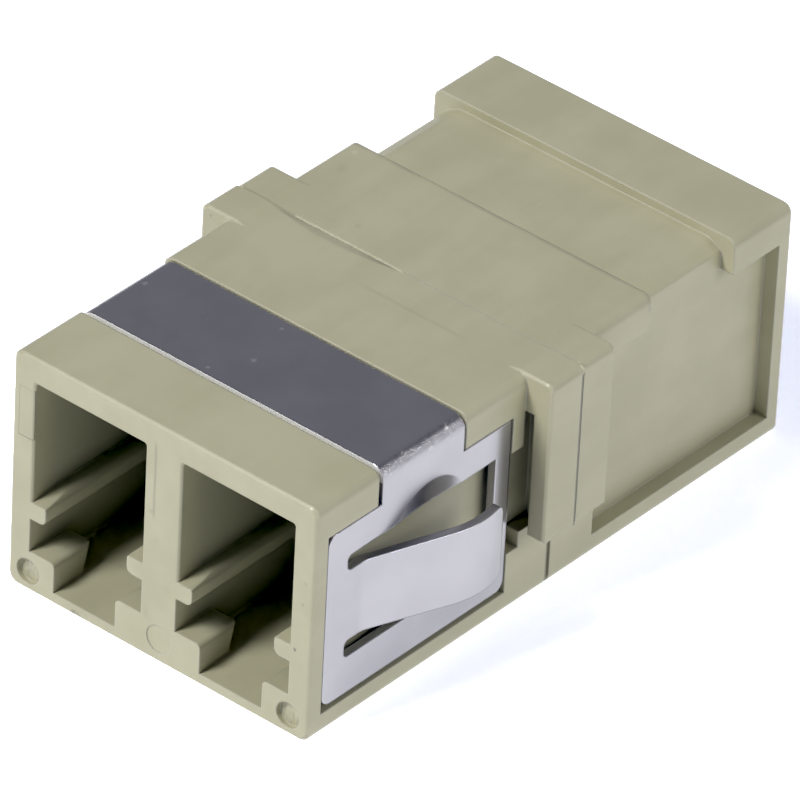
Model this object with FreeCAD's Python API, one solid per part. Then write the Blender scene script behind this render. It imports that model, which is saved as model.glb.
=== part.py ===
import FreeCAD, Part
import math
import os

from FreeCAD import Vector

# Duplex fibre adapter. X is the width, Y the length with the welded seam at Y = 0 and the clip half
# towards -Y, and Z is up from the underside. All sizes are in millimetres.

# Body, one half from its mouth to the seam
body_width = 12.8
body_height = 9.15
half_length = 11.83
long_edge_round_top = 0.35
long_edge_round_bottom = 0.42
mouth_edge_break = 0.1

# Channels for the two connectors
port_pitch = 6.25
port_width = 4.7
port_height = 4.53
port_corner_round = 0.12
ceiling_wall = 0.98
web_thickness = 1.25
mouth_break = 0.07
gate_radius = 0.52
gate_depth = 0.03
gate_offset_x = 0.07
gate_height = 0.9

# Guide rails under each connector, and the space below them for its latch
rail_reach = 0.61
rail_height = 0.78
rail_round = 0.24
rail_lead_length = 1.13
rail_lead_drop = 0.14
latch_side_relief = 0.05
floor_wall = 0.43
floor_rise = 0.16
floor_ramp_length = 2.36

# Latch shoulders in the lower corners of each mouth
shoulder_width = 1.08
shoulder_height = 1.12
shoulder_length = 1.82
shoulder_lean = 0.32
shoulder_edge_round = 0.18

# Flange ears at the seam
flange_half = 1.63
ear_reach_front = 1.04
ear_reach_rear = 0.95
ear_underside = 3.01
ear_rise = 0.06
ear_rise_start = 0.85
ear_rise_end = 0.4
ear_top_round = 0.28
ear_front_break = 0.08
seam_break = 0.05
seam_gap = 0.07
seam_gap_depth = 0.18

# Groove and side pockets for the clip
rim_length = 2.98
groove_width = 4.27
groove_depth = 0.35
groove_shoulder_run = 0.55
groove_shoulder_drop = 0.28
groove_top_round = 0.5
groove_side_round = 0.12
pocket_depth = 0.56
pocket_sill = 0.88
pocket_lintel = 1.34
mouth_wall = 0.6

# Stops between the pocket and the ear, and the opening left in the ear by the side core
stop_thickness = 0.57
stop_block_top = 2.41
post_length = 1.4
core_reach = 0.37
core_depth = 1.0

# Underside relief across the flange, and the pin marks in the mouth face
underside_relief = 0.08
mark_radius = 0.48
mark_depth = 0.2
mark_inset_x = 0.85
mark_inset_z = 0.74

# Spring clip, one folded strip
sheet = 0.3
bend_outer = 0.5
band_gap_front = 0.23
band_gap_rear = 0.05
leg_gap_back = 0.24
leg_gap_edges = 0.06
leg_foot_gap = 0.2
leg_corner_round = 0.4
leg_rear_round = 0.1

# Window and lanced tongue in each leg
window_head = 1.2
window_foot = 1.44
window_start = 0.98
window_rear_strip = 0.73
slot_width_top = 0.6
slot_width_bottom = 0.66
slot_end_round = 0.2
tongue_root = 0.7
tongue_angle = 20.0
tongue_bend_radius = 1.0
tongue_straight = 3.11
tongue_curl_radius = 3.5
tongue_curl_angle = 38.8
tongue_tip_round = 0.45
tongue_flare = 0.12
coin_half_width = 1.65
coin_height = 0.87
coin_depth = 0.14

# Split alignment sleeves and the tubes that hold them
sleeve_inner = 1.246
sleeve_outer = 1.62
sleeve_length = 6.8
sleeve_slit = 0.25
sleeve_break = 0.08
sleeve_gap_side = 0.06
sleeve_gap_end = 0.06
holder_outer = 2.8
holder_lip_bore = 1.4
holder_lip_mouth = 1.75
holder_lip_length = 0.5
holder_tip_break = 0.25

# Weld pins and sockets on the seam face
pin_radius = 0.42
pin_length = 0.55
pin_gap = 0.05
pin_inset_x = 1.15
pin_low = 1.85
pin_high = 7.9

# Worked out from the above
half_width = body_width / 2
port_centres = (-port_pitch / 2, port_pitch / 2)
ceiling = body_height - ceiling_wall
rail_top = ceiling - port_height
rail_bottom = rail_top - rail_height
ferrule_height = ceiling - port_height / 2
pocket_wall = half_width - pocket_depth
pocket_top = body_height - pocket_lintel
groove_floor = body_height - groove_depth
groove_start = rim_length - half_length
groove_end = groove_start + groove_width
pocket_start = mouth_wall - half_length
pocket_end = -flange_half - stop_thickness
leg_outer = pocket_wall + leg_gap_back + sheet
leg_bottom = pocket_sill + leg_foot_gap
leg_top = pocket_top - leg_gap_edges
leg_front = pocket_start + leg_gap_edges
leg_rear = pocket_end - leg_gap_edges
band_front = groove_start + band_gap_front
band_rear = groove_end - band_gap_rear
band_top = groove_floor + sheet
window_top = leg_top - window_head
window_bottom = leg_bottom + window_foot
window_front = leg_front + window_start
window_rear = leg_rear - window_rear_strip
tongue_top = window_top - slot_width_top
tongue_bottom = window_bottom + slot_width_bottom
tongue_start = window_front + tongue_root

# How far a cutter reaches past the solid, how far an added feature reaches into the wall it stands on,
# and the room left when edges are picked by their place
beyond = 1.0
bite = 0.2
hair = 0.001


# Points of the planes that the outlines are drawn in
def plane_point(axis, along, u, v):
    if axis == "x":
        return Vector(along, u, v)
    if axis == "y":
        return Vector(u, along, v)
    return Vector(u, v, along)


# The straight ends and the middle of the arc that rounds one corner of an outline
def corner_arc(before, corner, after, radius):
    to_before = (before - corner).normalize()
    to_after = (after - corner).normalize()
    half_angle = to_before.getAngle(to_after) / 2
    reach = radius / math.tan(half_angle)
    inward = (to_before + to_after).normalize()
    centre = corner + inward * (radius / math.sin(half_angle))
    return corner + to_before * reach, centre - inward * radius, corner + to_after * reach


# Closed outline in a plane, given as corners of (u, v, rounding radius)
def outline(axis, along, corners):
    points = [plane_point(axis, along, u, v) for u, v, radius in corners]
    radii = [radius for u, v, radius in corners]
    spans = []
    for i, corner in enumerate(points):
        if radii[i] > 0:
            spans.append(corner_arc(points[i - 1], corner, points[(i + 1) % len(points)], radii[i]))
        else:
            spans.append((corner, None, corner))
    edges = []
    for i, (first, middle, last) in enumerate(spans):
        if middle is not None:
            edges.append(Part.Arc(first, middle, last).toShape())
        following = spans[(i + 1) % len(spans)][0]
        edges.append(Part.LineSegment(last, following).toShape())
    return Part.Wire(edges)


# A prism along an axis from such an outline
def prism(axis, start, end, corners):
    face = Part.Face(outline(axis, start, corners))
    return face.extrude(plane_point(axis, end - start, 0, 0))


def rectangle(low_u, low_v, high_u, high_v, radius=0.0):
    corners = ((low_u, low_v), (high_u, low_v), (high_u, high_v), (low_u, high_v))
    return [(u, v, radius) for u, v in corners]


def box(low, high):
    size = high - low
    return Part.makeBox(size.x, size.y, size.z, low)


def cylinder_along_y(radius, x, z, start, end):
    return Part.makeCylinder(radius, end - start, Vector(x, start, z), Vector(0, 1, 0))


def mirrored(shape):
    return shape.mirror(Vector(0, 0, 0), Vector(1, 0, 0))


def both_sides(shape):
    return [shape, mirrored(shape)]


def turned_round(shape):
    turned = shape.copy()
    turned.rotate(Vector(0, 0, 0), Vector(0, 0, 1), 180)
    return turned


# A bent strip of even thickness, drawn in a plane as lines and turns along its outer face. Its material
# lies to the left of the way along it, and a positive turn is to the left.
def bent_strip(axis, low, high, start, heading, moves, thickness):
    def at(point):
        return plane_point(axis, low, point[0], point[1])

    def inner(point, angle):
        return point[0] - thickness * math.sin(angle), point[1] + thickness * math.cos(angle)

    point = start
    angle = math.radians(heading)
    outer_edges = []
    inner_edges = []
    first_inner = inner(point, angle)
    for move in moves:
        if move[0] == "line":
            after = (point[0] + move[1] * math.cos(angle), point[1] + move[1] * math.sin(angle))
            inner_point = inner(point, angle)
            inner_after = inner(after, angle)
            outer_edges.append(Part.LineSegment(at(point), at(after)).toShape())
            inner_edges.append(Part.LineSegment(at(inner_point), at(inner_after)).toShape())
        else:
            radius = move[1] if move[2] > 0 else -move[1]
            turn = math.radians(move[2])
            centre = (point[0] - radius * math.sin(angle), point[1] + radius * math.cos(angle))

            def on_arc(swept):
                across = radius * math.sin(angle + swept)
                return centre[0] + across, centre[1] - radius * math.cos(angle + swept)

            middle = on_arc(turn / 2)
            after = on_arc(turn)
            inner_point = inner(point, angle)
            inner_middle = inner(middle, angle + turn / 2)
            inner_after = inner(after, angle + turn)
            outer_edges.append(Part.Arc(at(point), at(middle), at(after)).toShape())
            inner_edges.append(Part.Arc(at(inner_point), at(inner_middle), at(inner_after)).toShape())
            angle = angle + turn
        point = after
    end_cap = Part.LineSegment(at(point), at(inner(point, angle))).toShape()
    start_cap = Part.LineSegment(at(first_inner), at(start)).toShape()
    face = Part.Face(Part.Wire(outer_edges + [end_cap] + inner_edges[::-1] + [start_cap]))
    return face.extrude(plane_point(axis, high - low, 0, 0))


def edges_where(shape, test):
    return [edge for edge in shape.Edges if test(edge.BoundBox)]


# Plain bar of the body with its long edges rounded and its mouth edge broken
def body_bar():
    bar = prism("y", -half_length, 0, [
        (-half_width, 0, long_edge_round_bottom),
        (half_width, 0, long_edge_round_bottom),
        (half_width, body_height, long_edge_round_top),
        (-half_width, body_height, long_edge_round_top),
    ])
    mouth = edges_where(bar, lambda bounds: bounds.YMax < -half_length + hair)
    return bar.makeChamfer(mouth_edge_break, mouth)


# What is cut away for the clip's band: everything above the groove floor and its sloping shoulders
def groove_cut():
    around = prism("y", groove_start, groove_end, rectangle(
        -half_width - beyond, pocket_top - beyond, half_width + beyond, body_height + beyond))
    core = prism("y", groove_start, groove_end, [
        (-pocket_wall, pocket_top - beyond, 0),
        (pocket_wall, pocket_top - beyond, 0),
        (pocket_wall, groove_floor - groove_shoulder_drop, groove_side_round),
        (pocket_wall - groove_shoulder_run, groove_floor, groove_top_round),
        (groove_shoulder_run - pocket_wall, groove_floor, groove_top_round),
        (-pocket_wall, groove_floor - groove_shoulder_drop, groove_side_round),
    ])
    return around.cut(core)


# Side pocket for a clip leg. It is longer between the stop block and the post, up to the ear.
def pocket_cut():
    return prism("x", pocket_wall, half_width + beyond, [
        (pocket_start, pocket_sill, 0),
        (pocket_end, pocket_sill, 0),
        (pocket_end, stop_block_top, 0),
        (-flange_half, stop_block_top, 0),
        (-flange_half, pocket_top - post_length, 0),
        (pocket_end, pocket_top - post_length, 0),
        (pocket_end, pocket_top, 0),
        (pocket_start, pocket_top, 0),
    ])


# Flange ear on one side. Its top stands slightly proud and runs out on the top of the body.
def ear(reach):
    block = prism("y", -flange_half, 0, [
        (half_width - ear_rise_start, ear_underside, 0),
        (half_width + reach, ear_underside, 0),
        (half_width + reach, body_height + ear_rise, ear_top_round),
        (half_width - ear_rise_end, body_height + ear_rise, 0),
        (half_width - ear_rise_start, body_height, 0),
    ])
    outer = half_width + reach - hair

    def outer_front(bounds):
        return bounds.YMax < -flange_half + hair and bounds.XMax > outer

    return block.makeChamfer(ear_front_break, edges_where(block, outer_front))


# Opening that the side core leaves in the ear beside the body
def core_opening():
    return box(
        Vector(pocket_wall, -flange_half, ear_underside),
        Vector(half_width + core_reach, core_depth - flange_half, pocket_top))


# Gap at the seam down the outside of the ear and of the body below it
def seam_cut(reach):
    beside_ear = box(
        Vector(half_width + reach - seam_gap_depth, -seam_gap, ear_underside - seam_gap_depth),
        Vector(half_width + reach + beyond, beyond, body_height - ear_top_round))
    beside_body = box(
        Vector(half_width - seam_gap_depth, -seam_gap, -beyond),
        Vector(half_width + beyond, beyond, ear_underside))
    return beside_ear.fuse(beside_body)


# Lowered underside across the flange
def relief_cut():
    return box(
        Vector(-half_width - beyond, -flange_half, -beyond),
        Vector(half_width + beyond, beyond, underside_relief))


# Hollow of one channel: connector space, latch space and the rails left standing between them
def channel_cut(centre):
    wide = port_width / 2
    latch = wide + latch_side_relief
    tip = wide - rail_reach
    floor = floor_wall + floor_rise
    half = [
        (latch, floor, 0),
        (latch, rail_bottom, 0),
        (tip, rail_bottom, rail_round),
        (tip, rail_top, rail_round),
        (wide, rail_top, 0),
        (wide, ceiling, port_corner_round),
    ]
    other = [(-u, v, radius) for u, v, radius in half[::-1]]
    corners = [(centre + u, v, radius) for u, v, radius in half + other]
    hollow = prism("y", -half_length - beyond, -web_thickness, corners)
    ramp = prism("x", centre - latch, centre + latch, [
        (-half_length, floor_wall, 0),
        (floor_ramp_length - half_length, floor, 0),
        (floor_ramp_length - half_length, floor + beyond / 2, 0),
        (-half_length, floor + beyond / 2, 0),
    ])
    lead = prism("x", centre - wide, centre + wide, [
        (-half_length, rail_top - rail_lead_drop, 0),
        (rail_lead_length - half_length, rail_top, 0),
        (-half_length, rail_top, 0),
    ])
    return hollow.fuse([ramp, lead])


# Broken edge round the connector space at the mouth
def mouth_bevel(centre):
    def opening(depth, spread):
        side = port_width / 2 + spread
        corners = [
            (centre - side, rail_top - rail_lead_drop, 0),
            (centre + side, rail_top - rail_lead_drop, 0),
            (centre + side, ceiling + spread, port_corner_round),
            (centre - side, ceiling + spread, port_corner_round),
        ]
        return outline("y", depth - half_length, corners)

    return Part.makeLoft([opening(0, mouth_break), opening(mouth_break, 0)], True, True)


# Latch shoulder in a lower corner of the mouth, leaning back so that the latch pulls in
def shoulder(side, centre):
    outer = centre + side * (port_width / 2 + latch_side_relief + bite)
    inner = centre + side * (port_width / 2 + latch_side_relief - shoulder_width)
    low = floor_wall - bite
    top = floor_wall + shoulder_height
    block = prism("x", min(outer, inner), max(outer, inner), [
        (-half_length, low, 0),
        (shoulder_length - shoulder_lean - half_length, low, 0),
        (shoulder_length - half_length, top, 0),
        (-half_length, top, 0),
    ])

    def inner_top_or_back(bounds):
        if max(abs(bounds.XMin - inner), abs(bounds.XMax - inner)) > hair:
            return False
        return bounds.ZMin > top - hair or bounds.YMax > -half_length + hair and bounds.ZMax > top - hair

    return block.makeFillet(shoulder_edge_round, edges_where(block, inner_top_or_back))


# Half tube that holds a split sleeve, with its lip at the tip
def sleeve_holder(centre):
    tip = -(sleeve_length / 2 + sleeve_gap_end + holder_lip_length)
    tube = cylinder_along_y(holder_outer / 2, centre, ferrule_height, tip, bite - web_thickness)
    tip_edges = edges_where(tube, lambda bounds: bounds.YMax < tip + hair)
    return tube.makeChamfer(holder_tip_break, tip_edges)


# Bore for the sleeve, and the tapered lead-in for the ferrule through the lip
def sleeve_holder_bore(centre):
    shelf = -(sleeve_length / 2 + sleeve_gap_end)
    wide = cylinder_along_y(sleeve_outer / 2 + sleeve_gap_side, centre, ferrule_height, shelf, beyond)
    tip = Vector(centre, shelf - holder_lip_length, ferrule_height)
    lead = Part.makeCone(
        holder_lip_mouth / 2, holder_lip_bore / 2, holder_lip_length, tip, Vector(0, 1, 0))
    return wide.fuse(lead)


# Round recesses that the moulding pins leave in the lower corners of the mouth face
def pin_mark(side):
    x = side * (half_width - mark_inset_x)
    start = -half_length - beyond
    return cylinder_along_y(mark_radius, x, mark_inset_z, start, mark_depth - half_length)


# Shallow round recess at the sprue gate, low on the wall between the ports
def gate_mark():
    start = -half_length - beyond
    return cylinder_along_y(gate_radius, gate_offset_x, gate_height, start, gate_depth - half_length)


# One moulded half with its mouth towards -Y
def housing_half(ear_reach):
    solid = body_bar()
    cuts = [groove_cut()] + both_sides(pocket_cut())
    solid = solid.cut(cuts)
    solid = solid.fuse(both_sides(ear(ear_reach)))
    solid = solid.cut(both_sides(core_opening()) + [relief_cut()]).removeSplitter()
    solid = solid.makeChamfer(seam_break, edges_where(solid, lambda bounds: bounds.YMin > -hair))
    solid = solid.cut(both_sides(seam_cut(ear_reach)))
    channels = [channel_cut(centre) for centre in port_centres]
    bevels = [mouth_bevel(centre) for centre in port_centres]
    solid = solid.cut(channels + bevels)
    additions = [shoulder(side, centre) for centre in port_centres for side in (-1, 1)]
    additions += [sleeve_holder(centre) for centre in port_centres]
    solid = solid.fuse(additions)
    bores = [sleeve_holder_bore(centre) for centre in port_centres]
    marks = [pin_mark(side) for side in (-1, 1)] + [gate_mark()]
    sockets = []
    pins = []
    place = half_width - pin_inset_x
    for height in (pin_low, pin_high):
        end = -pin_length - pin_gap
        sockets.append(cylinder_along_y(pin_radius + pin_gap, -place, height, end, beyond))
        pins.append(cylinder_along_y(pin_radius, place, height, -pin_gap, pin_length))
    solid = solid.cut(bores + marks + sockets)
    return solid.fuse(pins).removeSplitter()


# Leg of the clip before its window is cut, a flat plate with rounded corners
def leg_plate():
    return prism("x", leg_outer - sheet, leg_outer, [
        (leg_front, leg_bottom, leg_corner_round),
        (leg_rear, leg_bottom, leg_corner_round),
        (leg_rear, leg_top, leg_rear_round),
        (leg_front, leg_top, leg_corner_round),
    ])


# Window of a leg: open behind the tongue, with a slot on each side of the tongue's root
def window_cut():
    slots = []
    for low, high in ((tongue_top, window_top), (window_bottom, tongue_bottom)):
        slots.append(prism("x", leg_outer - sheet - beyond, leg_outer + beyond, [
            (window_front, low, slot_end_round),
            (tongue_start + beyond, low, 0),
            (tongue_start + beyond, high, 0),
            (window_front, high, slot_end_round),
        ]))
    opening = prism("x", leg_outer - sheet - beyond, leg_outer + beyond, rectangle(
        tongue_start, window_bottom, window_rear, window_top))
    return opening.fuse(slots)


# Tongue bent outwards from the leg, its free end curled back in and its lower edge flared
def tongue():
    low = tongue_bottom - tongue_flare
    strip = bent_strip("z", low, tongue_top, (leg_outer, tongue_start - bite), 90.0, [
        ("line", bite),
        ("turn", tongue_bend_radius, -tongue_angle),
        ("line", tongue_straight),
        ("turn", tongue_curl_radius, tongue_curl_angle),
    ], sheet)
    tip = strip.BoundBox.YMax
    frame = prism("x", leg_outer - sheet - beyond, leg_outer + 3 * beyond, [
        (tongue_start - beyond, tongue_bottom, 0),
        (tongue_start, tongue_bottom, 0),
        (tip, low, tongue_tip_round),
        (tip, tongue_top, tongue_tip_round),
        (tongue_start - beyond, tongue_top, 0),
    ])
    return strip.common(frame)


# Shallow coined hollow above the window, cut by a large sphere
def coin_cut():
    drop = (coin_half_width ** 2 - coin_height ** 2) / (2 * coin_height)
    reach = coin_height + drop
    radius = (reach ** 2 + coin_depth ** 2) / (2 * coin_depth)
    centre_y = (tongue_start + window_rear) / 2
    return Part.makeSphere(radius, Vector(leg_outer + radius - coin_depth, centre_y, window_top - drop))


# Clip folded over the body: band across the groove and a leg in each side pocket
def spring_clip():
    width = 2 * leg_outer
    rise = band_top - leg_bottom - leg_corner_round - bend_outer
    band = bent_strip("y", band_front, band_rear, (-leg_outer, leg_bottom + leg_corner_round), 90.0, [
        ("line", rise),
        ("turn", bend_outer, -90.0),
        ("line", width - 2 * bend_outer),
        ("turn", bend_outer, -90.0),
        ("line", rise),
    ], -sheet)
    solid = band.fuse(both_sides(leg_plate()))
    solid = solid.cut(both_sides(window_cut()) + both_sides(coin_cut()))
    return solid.fuse(both_sides(tongue())).removeSplitter()


# Slit ceramic sleeve centred on the seam, its slit downwards
def split_sleeve(centre):
    start = -sleeve_length / 2
    tube = cylinder_along_y(sleeve_outer / 2, centre, ferrule_height, start, -start)
    bore = cylinder_along_y(sleeve_inner / 2, centre, ferrule_height, start - beyond, beyond - start)
    tube = tube.cut(bore)
    tube = tube.makeChamfer(sleeve_break, [edge for edge in tube.Edges if len(edge.Vertexes) == 1])
    slit = box(
        Vector(centre - sleeve_slit / 2, start - beyond, ferrule_height - sleeve_outer),
        Vector(centre + sleeve_slit / 2, beyond - start, ferrule_height))
    return tube.cut(slit)


def save(name, shape):
    if shape.ShapeType == "Compound" and len(shape.Solids) == 1:
        shape = shape.Solids[0]
    shape.exportStep("parts/" + name + ".step")
    print(name, "solids", len(shape.Solids), "valid", shape.isValid(), "volume", round(shape.Volume, 2))


os.makedirs("parts", exist_ok=True)
save("front_housing", housing_half(ear_reach_front))
save("rear_housing", turned_round(housing_half(ear_reach_rear)))
save("spring_clip", spring_clip())
save("split_sleeve_left", split_sleeve(port_centres[0]))
save("split_sleeve_right", split_sleeve(port_centres[1]))
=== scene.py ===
import math

import bpy
import numpy as np
from mathutils import Matrix, Vector


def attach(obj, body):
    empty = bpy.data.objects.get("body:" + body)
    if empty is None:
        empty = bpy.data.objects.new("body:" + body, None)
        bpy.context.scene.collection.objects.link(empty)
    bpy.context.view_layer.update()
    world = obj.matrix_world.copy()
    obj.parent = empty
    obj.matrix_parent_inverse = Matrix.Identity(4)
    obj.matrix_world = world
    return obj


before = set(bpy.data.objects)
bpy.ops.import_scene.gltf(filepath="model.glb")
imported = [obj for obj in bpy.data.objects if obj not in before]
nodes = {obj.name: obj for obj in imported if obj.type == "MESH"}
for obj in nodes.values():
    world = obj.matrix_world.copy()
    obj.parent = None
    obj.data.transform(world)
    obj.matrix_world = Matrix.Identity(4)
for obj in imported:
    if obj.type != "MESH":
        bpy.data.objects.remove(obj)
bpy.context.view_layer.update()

mm = 0.001
print("frame loaded:", ", ".join(sorted(nodes)))


# one output socket of a shader node; + - * and / on it add Math nodes to its material
class Shade:
    def __init__(self, finish, socket):
        self.finish = finish
        self.socket = socket

    def math(self, operation, *values):
        return self.finish.node("ShaderNodeMath", {"operation": operation}, dict(enumerate(values)))

    def __add__(self, other):
        return self.math("ADD", self, other)

    def __sub__(self, other):
        return self.math("SUBTRACT", self, other)

    def __rsub__(self, other):
        return self.math("SUBTRACT", other, self)

    def __mul__(self, other):
        return self.math("MULTIPLY", self, other)

    def __truediv__(self, other):
        return self.math("DIVIDE", self, other)

    def __abs__(self):
        return self.math("ABSOLUTE", self)

    # the largest of this value and the others
    def larger(self, *others):
        largest = self
        for other in others:
            largest = self.math("MAXIMUM", largest, other)
        return largest

    __radd__ = __add__
    __rmul__ = __mul__


# a material being wired; its place is the Object coordinate in millimetres, split into x, y and z
class Finish:
    def __init__(self, name):
        self.material = bpy.data.materials.new(name)
        self.material.use_nodes = True
        self.tree = self.material.node_tree
        self.tree.nodes.clear()
        where = self.node("ShaderNodeTexCoord", output="Object")
        self.place = self.node(
            "ShaderNodeVectorMath", {"operation": "SCALE"}, {0: where, "Scale": 1 / mm})
        self.x, self.y, self.z = (self.split(self.place, axis) for axis in "XYZ")

    # any node: settings go on first, then numbers or links go into its sockets
    def node(self, kind, settings=None, inputs=None, output=0):
        made = self.tree.nodes.new(kind)
        for key, value in (settings or {}).items():
            setattr(made, key, value)
        for key, value in (inputs or {}).items():
            if isinstance(value, Shade):
                self.tree.links.new(value.socket, made.inputs[key])
            elif isinstance(value, tuple) and made.inputs[key].type == "RGBA":
                made.inputs[key].default_value = (*value, 1)
            else:
                made.inputs[key].default_value = value
        return Shade(self, made.outputs[output])

    def split(self, vector, axis):
        return self.node("ShaderNodeSeparateXYZ", None, {0: vector}, output=axis)

    # millimetres stretched by a factor on each axis
    def stretched(self, x, y, z):
        return self.node(
            "ShaderNodeVectorMath", {"operation": "MULTIPLY"}, {0: self.place, 1: (x, y, z)})

    def noise(self, perMm, detail=2.0, rough=0.5, at=None, distortion=0.0):
        return self.node("ShaderNodeTexNoise", None, {
            "Vector": at or self.place, "Scale": perMm, "Detail": detail, "Roughness": rough,
            "Distortion": distortion})

    def cells(self, perMm):
        return self.node(
            "ShaderNodeTexVoronoi", None, {"Vector": self.place, "Scale": perMm}, output="Distance")

    # 0 below low, 1 above high, smooth between
    def step(self, value, low, high):
        return self.node("ShaderNodeMapRange", {"interpolation_type": "SMOOTHSTEP"}, {
            "Value": value, "From Min": low, "From Max": high})

    # 1 between low and high, fading out over soft on both sides
    def between(self, value, low, high, soft):
        return self.step(value, low - soft, low) * (1 - self.step(value, high, high + soft))

    # 1 at a point, fading out at a radius that the noise rag makes ragged
    def spot(self, point, radius, rag, raggedness=1.6, core=0.2):
        away = self.node(
            "ShaderNodeVectorMath", {"operation": "DISTANCE"}, {0: self.place, 1: point}, output="Value")
        return 1 - self.step(away + (rag - 0.5) * (raggedness * radius), core * radius, radius)

    # colours: the first at factor 0, the second at factor 1
    def blend(self, factor, first, second):
        return self.node(
            "ShaderNodeMix", {"data_type": "RGBA"}, {0: factor, 6: first, 7: second}, output=2)

    # directions: the first at factor 0, the second at factor 1
    def lean(self, factor, first, second):
        return self.node(
            "ShaderNodeMix", {"data_type": "VECTOR"}, {0: factor, 4: first, 5: second}, output=1)

    def bump(self, height, distance, normal):
        return self.node(
            "ShaderNodeBump", None, {"Height": height, "Distance": distance * mm, "Normal": normal})

    # normal of the surface with its edges rounded to a radius
    def softEdges(self, radius):
        return self.node("ShaderNodeBevel", {"samples": 6}, {"Radius": radius * mm})

    def faceNormal(self):
        return self.node("ShaderNodeNewGeometry", output="True Normal")

    # how far the rounded normal leaves the flat one: 0 on faces, rising on edges
    def edgeMask(self, rounded, low, high):
        along = self.node(
            "ShaderNodeVectorMath", {"operation": "DOT_PRODUCT"}, {0: rounded, 1: self.faceNormal()},
            output="Value")
        return self.step(1 - along, low, high)

    # Principled BSDF straight to the output
    def close(self, sockets):
        shader = self.node("ShaderNodeBsdfPrincipled", None, sockets)
        output = self.tree.nodes.new("ShaderNodeOutputMaterial")
        self.tree.links.new(shader.socket, output.inputs["Surface"])
        return self.material


beige = {
    "light": (0.545, 0.525, 0.370),
    "dark": (0.499, 0.481, 0.331),
    # painted shade colour for the inside of the ports
    "core": (0.458, 0.449, 0.322),
    # pale colour: painted highlight on the edges and painted light in the closed groove, and wear on the
    # scuffs, scrapes and specks
    "edge": (0.72, 0.70, 0.58),
    # dark colour: dirt on the marks, and painted shade on the dent, the seam and the step's foot
    "dirtAndShadeColour": (0.20, 0.19, 0.15),
    "roughness": 0.34,
    "textureHeight": 0.0022,
    "markDepth": 0.05,
    "edgeRound": 0.10,
    "cloudsPerMm": 0.35,
    "grainPerMm": 16.0,
    "specksPerMm": 2.3,
    "wanderPerMm": 1.3,
    # where the larger marks lie, in mm: (low, high, fade) is a band, and (none, full) is where a mark
    # begins and where it is full
    "top": (9.0, 9.1),
    "mouth": (-11.7, -11.8),
    "dent": {
        "across": (-4.9, -1.2, 1.0), "middle": -3.1, "spread": (3.2, 0.2), "reach": 0.34, "leastReach": 0.08},
    "flush": {
        "along": (-0.15, 0.15, 0.03), "up": (9.0, 9.05), "inward": (7.15, 7.05), "open": (-4.7, -0.45, 0.25)},
    "filled": {"along": (-0.05, 0.05, 0.015), "across": (-0.4, -0.2)},
    "trace": {"along": (-1.5, -1.42, 0.07), "across": (-0.2, 3.0, 0.9)},
    "stepFootShade": {"along": (4.47, 4.62, 0.07), "up": (8.5, 8.6), "patches": (0.25, 0.6)},
    "insert": {"across": (-6.1, -5.5, 0.04), "up": (5.97, 7.85, 0.04)},
    "webLine": {"across": (-0.36, -0.30, 0.04), "up": (5.8, 8.2, 0.4)},
    "seam": {"along": (-0.12, 0.04, 0.04), "outward": (6.3, 6.36), "down": (9.0, 8.9)},
    "pinMark": {"aside": 5.55, "height": 0.74, "radiusSquared": (0.22, 0.17), "outward": (11.4, 11.6)},
    "ports": {"inward": (5.6, 5.5), "down": (8.35, 8.3), "up": (0.7, 0.75), "deeper": (11.6, 10.6)},
    # how much each of them takes of the dark colour, which is dirt on the marks and painted shade on the dent,
    # the seam and the step's foot, and of the pale colour, which is painted highlight on the edges, painted
    # light in the closed groove and wear on the scuffs, scrapes and specks
    "dirtAndShadeAmount": {"dent": 0.14, "webLine": 0.3, "seam": 0.8, "insert": 0.06, "trace": 0.10, "stepFootShade": 0.22},
    "pale": {"edges": 0.7, "filled": 0.3, "scuffs": 0.12, "scrape": 0.6, "specks": 0.3},
    # small marks in the surface: place in mm, radius in mm, and how dark (+) or pale (-) each one is
    "marks": [
        ((-3.55, -11.83, 0.14), 0.14, 0.6), ((-3.35, -11.83, 0.12), 0.10, 0.5),
        ((5.72, -11.83, 3.42), 0.09, 0.9), ((5.97, -11.83, 5.31), 0.10, 0.3),
        ((-5.5, 3.1, 9.15), 0.30, 0.10), ((-3.0, 0.95, 9.15), 0.16, 0.08),
        ((-7.05, -1.63, 8.9), 0.09, 0.35), ((0.57, 0.0, 9.15), 0.09, -0.9),
        ((-2.8, 5.3, 9.15), 0.2, -0.3), ((-5.83, 4.13, 9.15), 0.16, -0.25),
        ((-0.45, -11.83, 5.7), 0.14, 0.2), ((6.05, -11.83, 6.17), 0.09, 0.25),
        ((-0.6, -11.83, 1.75), 0.32, 0.10), ((-0.2, -11.83, 4.7), 0.22, 0.08),
        ((0.3, -11.83, 3.0), 0.26, 0.07),
    ],
}


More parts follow.
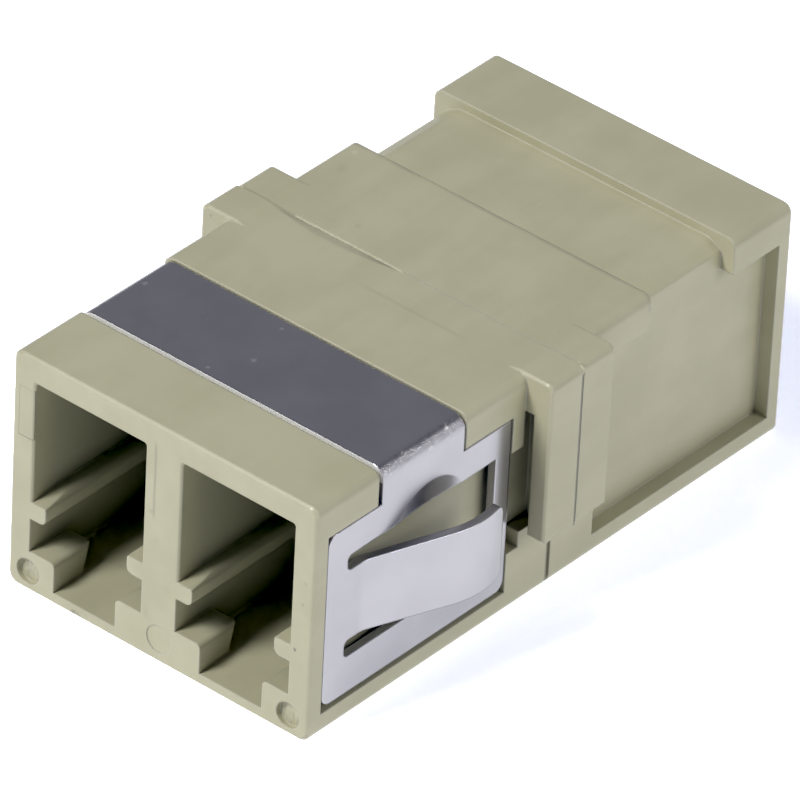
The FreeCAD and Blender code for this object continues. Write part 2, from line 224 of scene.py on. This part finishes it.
def beigePlastic():
    f = Finish("beige_plastic_moulded")
    dirtAndShadeAmount, pale = beige["dirtAndShadeAmount"], beige["pale"]
    aside, length = abs(f.x), abs(f.y)
    rounded = f.softEdges(beige["edgeRound"])
    clouds = f.noise(beige["cloudsPerMm"], detail=3.0, rough=0.55)
    flow = f.noise(1.0, at=f.stretched(0.9, 0.16, 0.9))
    grain = f.noise(beige["grainPerMm"], rough=0.6)
    rubs = f.noise(1.0, detail=4.0, rough=0.7, at=f.stretched(3.0, 0.5, 2.2), distortion=0.6)
    scuffs = f.step(rubs, 0.63, 0.74)
    specks = f.step(f.cells(beige["specksPerMm"]), 0.06, 0.03)
    # painted highlight along every edge
    edges = f.edgeMask(rounded, 0.02, 0.16)
    wander = (f.noise(beige["wanderPerMm"]) - 0.5) * 0.05  # keeps long lines from being dead straight
    onTop = f.step(f.z, *beige["top"])
    onMouth = f.step(f.y, *beige["mouth"])

    # dent in front of the weld on the top: it starts at an arc and deepens evenly to the seam; besides its
    # bump it is painted darker there, as painted shade in the dent
    at = beige["dent"]
    reach = at["leastReach"] + at["reach"] * f.step(abs(f.x - at["middle"]), *at["spread"]) + wander
    dent = f.step(f.y / reach, -1.0, -0.1) * f.step(f.y, 0.0, -0.035) * f.between(f.x, *at["across"]) * onTop

    # the weld closed flush along the top, save behind the dent: no groove and no painted edge highlight shows
    # there
    at = beige["flush"]
    flush = f.between(f.y, *at["along"]) * f.step(f.z, *at["up"]) * f.step(aside, *at["inward"])
    flush = flush * (1 - f.between(f.x, *at["open"]))
    skin = f.lean(flush, rounded, (0, 0, 1))

    # painted light in the closed groove evens out the shade left there
    at = beige["filled"]
    filled = flush * f.between(f.y, *at["along"]) * f.step(f.x, *at["across"])

    # a faint flow line in front of the seam
    at = beige["trace"]
    trace = f.between(f.y + wander, *at["along"]) * f.between(f.x, *at["across"]) * onTop

    # painted shade along the foot of the step on the rear half's top, broken into patches
    at = beige["stepFootShade"]
    stepFootShade = f.between(f.y + wander * 0.8, *at["along"]) * f.step(f.z, *at["up"])
    stepFootShade = stepFootShade * f.step(f.noise(0.7), *at["patches"])

    # insert lines on the mouth face: a step on the left jamb, a faint line on the wall between the ports
    at = beige["insert"]
    insert = f.between(f.x, *at["across"]) * f.between(f.z, *at["up"]) * onMouth
    at = beige["webLine"]
    webLine = f.between(f.x + wander, *at["across"]) * f.between(f.z, *at["up"]) * onMouth

    # painted shade in the open seam down the ears and the sides
    at = beige["seam"]
    seam = f.between(f.y, *at["along"]) * f.step(aside, *at["outward"]) * f.step(f.z, *at["down"])

    # scraped floors of the round pin marks
    at = beige["pinMark"]
    fromAxis = aside - at["aside"]
    above = f.z - at["height"]
    inMark = f.step(fromAxis * fromAxis + above * above, *at["radiusSquared"]) * f.step(length, *at["outward"])
    scratched = f.noise(1.0, detail=4.0, rough=0.7, at=f.stretched(9.0, 3.0, 1.6))
    scrape = f.step(scratched, 0.5, 0.62) * inMark

    # the inside of the ports, from a little behind the mouth, is painted a shade darker than the outside:
    # painted shade in the ports
    at = beige["ports"]
    portShade = f.step(aside, *at["inward"]) * f.step(f.z, *at["down"])
    portShade = portShade * f.step(f.z, *at["up"]) * f.step(length, *at["deeper"])

    tone = f.step(clouds * 0.6 + flow * 0.4, 0.35, 0.65)
    colour = f.blend(tone, beige["dark"], beige["light"])
    colour = f.blend(portShade, colour, beige["core"])
    # painted highlight on the edges and painted light in the closed groove
    colour = f.blend(edges * pale["edges"] * (1 - flush) + filled * pale["filled"], colour, beige["edge"])
    colour = f.blend((scuffs * pale["scuffs"]).larger(scrape * pale["scrape"]), colour, beige["edge"])
    colour = f.blend(specks * pale["specks"], colour, beige["edge"])
    # dirt on the marks and painted shade on the dent, the seam and the step's foot, darkening the colour
    # together
    dirtAndShade = (dent * dirtAndShadeAmount["dent"]).larger(
        webLine * dirtAndShadeAmount["webLine"], seam * dirtAndShadeAmount["seam"], insert * dirtAndShadeAmount["insert"], trace * dirtAndShadeAmount["trace"],
        stepFootShade * dirtAndShadeAmount["stepFootShade"])
    colour = f.blend(dirtAndShade, colour, beige["dirtAndShadeColour"])
    rag = f.noise(7.0, detail=3.0, rough=0.6)
    spots = []
    for point, radius, depth in beige["marks"]:
        spots.append(f.spot(point, radius, rag))
        colour = f.blend(spots[-1] * abs(depth), colour, beige["dirtAndShadeColour"] if depth > 0 else beige["edge"])
    rough = beige["roughness"] + 0.10 * (grain - 0.5) + 0.06 * (clouds - 0.5) - 0.05 * scuffs
    normal = f.bump(grain + 0.5 * specks + 2.0 * sum(spots), beige["textureHeight"], skin)
    normal = f.bump(0.7 * insert - dent + 0.3 * scrape, beige["markDepth"], normal)
    return f.close({"Base Color": colour, "Roughness": rough, "Normal": normal, "Specular IOR Level": 0.5})


steel = {
    "light": (0.605, 0.595, 0.625),
    "dark": (0.565, 0.555, 0.585),
    "sheared": (0.52, 0.51, 0.53),
    "cut": (0.97, 0.97, 0.98),
    # bright colour for pale pits and specks, and for the painted glints on the bends
    "fleck": (0.96, 0.96, 0.98),
    "shade": (0.40, 0.39, 0.41),
    "roughness": 0.19,
    "shearedRoughness": 0.42,
    "cutMetal": 0.2,
    "edgeRound": 0.09,
    "rollingHeight": 0.0008,
    "bendHeight": 0.05,
    # rises in mm: up from the legs on to the band, and over each bend upwards and outwards
    "band": (8.50, 8.60),
    "bendUp": (8.50, 8.95),
    "bendOut": (7.80, 8.05),
    "bendSlope": 0.2,
    # a face looks along an axis when this much of its normal does, (none, full)
    "facing": (0.4, 0.7),
    # bright specks on the band: place and radius in mm
    "specks": [
        ((-5.84, -6.2, 9.1), 0.14), ((-0.5, -7.0, 9.1), 0.14), ((-1.3, -8.3, 9.1), 0.1),
        ((-1.0, -5.05, 9.1), 0.1),
    ],
}


def clipSteel():
    f = Finish("clip_steel_rolled")
    rounded = f.softEdges(steel["edgeRound"])
    rolling = f.noise(1.0, detail=4.0, rough=0.65, at=f.stretched(0.5, 15.0, 0.5))
    clouds = f.noise(0.5, detail=3.0)
    scores = f.noise(1.0, detail=3.0, rough=0.7, at=f.stretched(1.6, 24.0, 1.6), distortion=0.8)
    scratches = f.step(scores, 0.70, 0.78)
    pits = f.step(f.cells(1.9), 0.05, 0.02)

    # cut edges of the sheet: faces along Y on the band, faces not along X on the legs
    flat = f.faceNormal()
    low, high = steel["facing"]
    onBand = f.step(f.z, *steel["band"])
    alongX = f.step(abs(f.split(flat, "X")), low, high)
    alongY = f.step(abs(f.split(flat, "Y")), low, high)
    sheared = alongY.larger((1 - alongX) * (1 - onBand))

    # the outer face of each bend is a stretched, rougher, bumped strip, painted darker in mottles as painted
    # shade, with painted glints along it
    bend = f.step(abs(f.x) + f.z * steel["bendSlope"], *steel["bendOut"]) * (1 - sheared)
    bend = bend * f.step(f.z, *steel["bendUp"])
    peel = f.noise(1.0, detail=4.0, rough=0.75, at=f.stretched(3.4, 2.0, 3.4), distortion=0.5)
    bendGlints = f.step(peel, 0.60, 0.66) * bend
    bendShade = f.step(peel, 0.52, 0.40) * bend

    # the front edge of the band was cut bright and stays matt
    cutFront = f.step(f.split(flat, "Y"), -low, -high) * onBand

    rag = f.noise(9.0, detail=3.0)
    colour = f.blend(f.step(clouds, 0.3, 0.7), steel["dark"], steel["light"])
    colour = f.blend(sheared, colour, steel["sheared"])
    colour = f.blend(cutFront, colour, steel["cut"])
    # painted shade over the bends, then painted glints on them and pale pits
    colour = f.blend((bend * 0.3).larger(bendShade * 0.7), colour, steel["shade"])
    colour = f.blend((pits * 0.3).larger(bendGlints * 0.9), colour, steel["fleck"])
    for point, radius in steel["specks"]:
        colour = f.blend(f.spot(point, radius, rag) * 0.6, colour, steel["fleck"])
    rough = steel["roughness"] + 0.04 * (rolling - 0.5) + 0.10 * scratches + 0.1 * pits + 0.24 * bend
    rough = rough + (steel["shearedRoughness"] - steel["roughness"]) * sheared
    metallic = 1 - (1 - steel["cutMetal"]) * cutFront.larger(bendGlints * 0.5)
    lines = f.bump(rolling + 0.6 * scratches, steel["rollingHeight"], rounded)
    normal = f.bump(peel * bend, steel["bendHeight"], lines)
    return f.close({"Base Color": colour, "Metallic": metallic, "Roughness": rough, "Normal": normal})


ceramic = {
    "colour": (0.80, 0.78, 0.70),
    "shade": (0.72, 0.70, 0.61),
    "roughness": 0.12,
    "groundHeight": 0.0008,
    "edgeRound": 0.03,
}


def whiteZirconia():
    f = Finish("zirconia_ground")
    rounded = f.softEdges(ceramic["edgeRound"])
    ground = f.noise(1.0, detail=3.0, at=f.stretched(20.0, 0.8, 20.0))
    colour = f.blend(f.step(f.noise(1.4), 0.4, 0.6), ceramic["shade"], ceramic["colour"])
    rough = ceramic["roughness"] + 0.08 * (ground - 0.5)
    normal = f.bump(ground, ceramic["groundHeight"], rounded)
    return f.close({"Base Color": colour, "Roughness": rough, "Normal": normal})


def dress(node, material):
    mesh = nodes[node].data
    mesh.materials.clear()
    mesh.materials.append(material)


plastic = beigePlastic()
metal = clipSteel()
zirconia = whiteZirconia()
for node in ("front_housing", "rear_housing"):
    dress(node, plastic)
dress("spring_clip", metal)
for node in ("split_sleeve_left", "split_sleeve_right"):
    dress(node, zirconia)
print("materials on the packed pieces")

# plastic squeezed out of the weld, as beads that lie in the seam
flash = {
    "ringEvery": 0.03,
    "sides": 12,
    "unevenness": 0.14,
    "sway": 0.012,
    "sink": 0.08,
    # the ripple's waves in radians a mm, how much each counts, and how much slower the sway is
    "waves": {"perMm": (2.1, 5.3, 11.7, 23.0), "weight": (0.4, 0.3, 0.2, 0.1), "swayFactor": 0.3},
    # each has a path in mm, the way out of the surface, its half width and flatness, and its bulges as
    # (distance along the path, extra half width, reach)
    "beads": {
        "hook": {
            "path": [(7.08, 0, 9.21), (7.28, 0, 9.205), (7.42, 0, 9.12), (7.45, 0, 8.85)],
            "out": (0.7, 0, 0.7), "half": 0.06, "flat": 0.8, "bulges": [(0.3, 0.03, 0.1)]},
        "earRight": {
            "path": [(7.29, 0, 8.9), (7.29, 0, 3.0)], "out": (1, 0, 0), "half": 0.03, "flat": 0.55,
            "bulges": [(3.6, 0.10, 0.05), (4.1, 0.16, 0.09), (4.6, 0.14, 0.06), (5.8, 0.16, 0.08)]},
        "earLeft": {
            "path": [(-7.29, 0, 8.9), (-7.29, 0, 3.0)], "out": (-1, 0, 0), "half": 0.03, "flat": 0.55,
            "bulges": [(1.9, 0.14, 0.07), (5.1, 0.12, 0.06)]},
        "sideRight": {
            "path": [(6.25, 0, 2.8), (6.25, 0, 0.5)], "out": (1, 0, 0), "half": 0.03, "flat": 0.55,
            "bulges": [(1.1, 0.12, 0.06)]},
        "sideLeft": {
            "path": [(-6.25, 0, 2.8), (-6.25, 0, 0.5)], "out": (-1, 0, 0), "half": 0.03, "flat": 0.55,
            "bulges": [(0.7, 0.12, 0.06)]},
    },
}


# one bead: a flattened ring carried along a path, p(s) + r(s) * (cos a * across + flatness * sin a * out),
# where r(s) is the half width times 1 + a slow ripple, plus the bulges; it closes at both ends as the root
# of 1 - t^4 with t from -1 to 1, and sinks into the seam there
def beadSurface(bead, seed):
    sides = flash["sides"]
    flat = bead["flat"]
    corners = np.array(bead["path"], float)
    spans = np.linalg.norm(np.diff(corners, axis=0), axis=1)
    stops = np.concatenate([[0], np.cumsum(spans)])
    count = int(stops[-1] / flash["ringEvery"])
    along = np.linspace(0, stops[-1], count)
    centre = np.stack([np.interp(along, stops, corners[:, axis]) for axis in range(3)], 1)

    start = np.random.default_rng(seed).uniform(0, 2 * math.pi, (4, 1))
    rates = np.array(flash["waves"]["perMm"])[:, None]
    weights = np.array(flash["waves"]["weight"])[:, None]
    ripple = (weights * np.sin(rates * along + start)).sum(0)
    sway = (weights * np.cos(rates[::-1] * along * flash["waves"]["swayFactor"] + start)).sum(0)
    radius = bead["half"] * (1 + flash["unevenness"] * ripple)
    for place, extra, reach in bead["bulges"]:
        radius = radius + extra * np.exp(-((along - place) / reach) ** 2)
    taper = np.sqrt(np.clip(1 - np.linspace(-1, 1, count) ** 4, 0.02, 1))
    radius = radius * taper

    out = np.array(bead["out"], float)
    across = np.cross(np.gradient(centre, axis=0), out)
    across = across / np.linalg.norm(across, axis=1, keepdims=True)
    depth = flat * bead["half"] + flash["sink"] * (1 - taper)
    centre = centre + flash["sway"] * sway[:, None] * across - depth[:, None] * out
    angle = np.linspace(0, 2 * math.pi, sides, endpoint=False)[None, :, None]
    ring = np.cos(angle) * across[:, None, :] + flat * np.sin(angle) * out
    points = centre[:, None, :] + radius[:, None, None] * ring

    rows = np.arange(count - 1)[:, None] * sides
    first = rows + np.arange(sides)
    second = rows + (np.arange(sides) + 1) % sides
    quads = np.stack([first, second, second + sides, first + sides], -1).reshape(-1, 4)
    last = (count - 1) * sides
    caps = [list(range(sides))[::-1], list(range(last, last + sides))]
    return points.reshape(-1, 3), quads, caps


def weldFlash():
    points = []
    faces = []
    for seed, bead in enumerate(flash["beads"].values()):
        start = sum(len(part) for part in points)
        part, quads, caps = beadSurface(bead, seed)
        points.append(part)
        faces += (quads + start).tolist() + [[corner + start for corner in cap] for cap in caps]
    mesh = bpy.data.meshes.new("weld_flash")
    mesh.from_pydata((np.concatenate(points) * mm).tolist(), [], faces)
    mesh.polygons.foreach_set("use_smooth", np.ones(len(faces), dtype=bool))
    mesh.materials.append(plastic)
    piece = bpy.data.objects.new("weld_flash", mesh)
    bpy.context.scene.collection.objects.link(piece)
    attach(piece, "root")


weldFlash()
print("weld flash laid in the seam")

studio = {
    "floorSize": 4.0,
    "floorColour": (0.5, 0.5, 0.5),
    "floorRoughness": 0.6,
    "floorGlow": 0.60,
    "floorGlowColour": (0.97, 0.985, 1.05),
    "worldColour": (0.98, 0.95, 1.0),
    "worldStrength": 0.10,
    # what the picture takes as black, and where its highlights begin and end
    "black": (0.035, 0.031, 0.018),
    "highlight": (0.70, 0.785),
}

# each light: azimuth it stands at (0 is in front, 90 to the right), elevation, distance, size and watts
lights = {
    "keyLeft": {"azimuth": -22, "elevation": 47, "distance": 0.6, "size": (0.16, 0.2), "power": 2.62},
    "sideRight": {"azimuth": 105, "elevation": 32, "distance": 0.6, "size": (0.35, 0.35), "power": 1.2},
    "rearSheet": {"azimuth": -165, "elevation": 24, "distance": 0.7, "size": (1.5, 0.9), "power": 0.68},
}


def addLight(name, light):
    turn = math.radians(light["azimuth"])
    rise = math.radians(light["elevation"])
    towards = Vector((math.sin(turn) * math.cos(rise), -math.cos(turn) * math.cos(rise), math.sin(rise)))
    data = bpy.data.lights.new(name, "AREA")
    data.shape = "RECTANGLE"
    data.size, data.size_y = light["size"]
    data.energy = light["power"]
    lamp = bpy.data.objects.new(name, data)
    lamp.location = towards * light["distance"]
    lamp.rotation_euler = towards.to_track_quat("Z", "Y").to_euler()
    bpy.context.scene.collection.objects.link(lamp)


def lightWorld():
    world = bpy.data.worlds.new("studio")
    bpy.context.scene.world = world
    world.use_nodes = True
    background = world.node_tree.nodes["Background"]
    background.inputs["Color"].default_value = (*studio["worldColour"], 1)
    background.inputs["Strength"].default_value = studio["worldStrength"]


def layFloor():
    half = studio["floorSize"] / 2
    corners = [(-half, -half, 0), (half, -half, 0), (half, half, 0), (-half, half, 0)]
    mesh = bpy.data.meshes.new("floor")
    mesh.from_pydata(corners, [], [(0, 1, 2, 3)])
    floor = bpy.data.objects.new("floor", mesh)
    bpy.context.scene.collection.objects.link(floor)
    f = Finish("floor_white")
    mesh.materials.append(f.close({
        "Base Color": studio["floorColour"], "Roughness": studio["floorRoughness"],
        "Emission Color": studio["floorGlowColour"], "Emission Strength": studio["floorGlow"]}))


for name, light in lights.items():
    addLight(name, light)
lightWorld()
layFloor()

# the photograph's camera: where it stands (mm), how it is turned, and its lens and sensor (mm)
view = {
    "position": (195.04, -242.10, 225.28),
    "right": (0.75862, 0.65015, 0.04243),
    "up": (-0.40370, 0.41794, 0.81385),
    "back": (0.51139, -0.63453, 0.57952),
    "lens": 529.1,
    "sensor": 36,
    "sees": (0.01, 10),  # from and to, in metres
}


def addCamera():
    data = bpy.data.cameras.new("camera")
    data.sensor_width = view["sensor"]
    data.lens = view["lens"]
    data.clip_start, data.clip_end = view["sees"]
    camera = bpy.data.objects.new("camera", data)
    turned = Matrix((view["right"], view["up"], view["back"])).transposed().to_4x4()
    camera.matrix_world = Matrix.Translation(Vector(view["position"]) * mm) @ turned
    bpy.context.scene.collection.objects.link(camera)
    bpy.context.scene.camera = camera


# straight up to the highlights, which then rise to white, so the lit floor goes clear
def setDisplay():
    display = bpy.context.scene.view_settings
    display.view_transform = "Standard"
    display.use_curve_mapping = True
    mapping = display.curve_mapping
    mapping.black_level = studio["black"]
    mapping.extend = "HORIZONTAL"
    allChannels = mapping.curves[3]
    start, end = studio["highlight"]
    allChannels.points.new(start, start)
    allChannels.points[-1].location = (end, 1.0)
    for point in allChannels.points:
        point.handle_type = "VECTOR"
    mapping.update()


addCamera()
setDisplay()
print("studio set")
